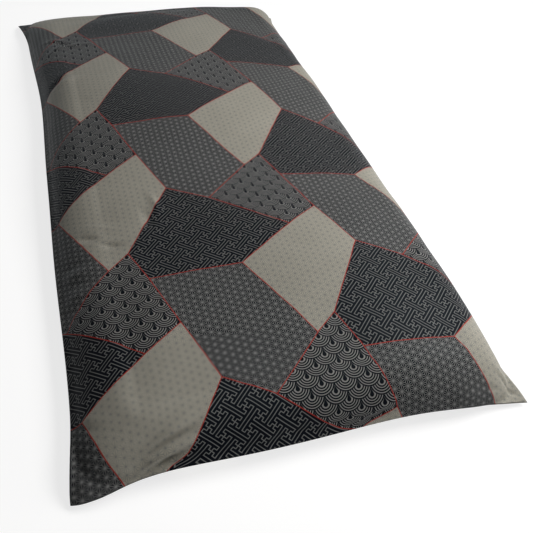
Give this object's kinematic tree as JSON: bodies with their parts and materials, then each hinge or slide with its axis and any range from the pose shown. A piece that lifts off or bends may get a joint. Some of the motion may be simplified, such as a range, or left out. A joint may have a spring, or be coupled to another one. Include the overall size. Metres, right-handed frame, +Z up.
{
  "type": "futon mattress in its printed cover",
  "caption": "Padded floor futon mattress closed in a patchwork-print cotton cover, crowned, with drawn-in sides and pointed corners, to lie flat for sleeping on.",
  "frame": {"origin": "on the floor, under the middle of the futon's box", "axes": "+Y along the futon's length, +X across it, +Z up"},
  "size_m": [1.0505, 2.135, 0.1937],
  "materials": {
    "printed_cotton": "matt printed plain-weave cotton"
  },
  "bodies": {
    "root": {"futon_in_cover": "printed_cotton"}
  },
  "joints": []
}
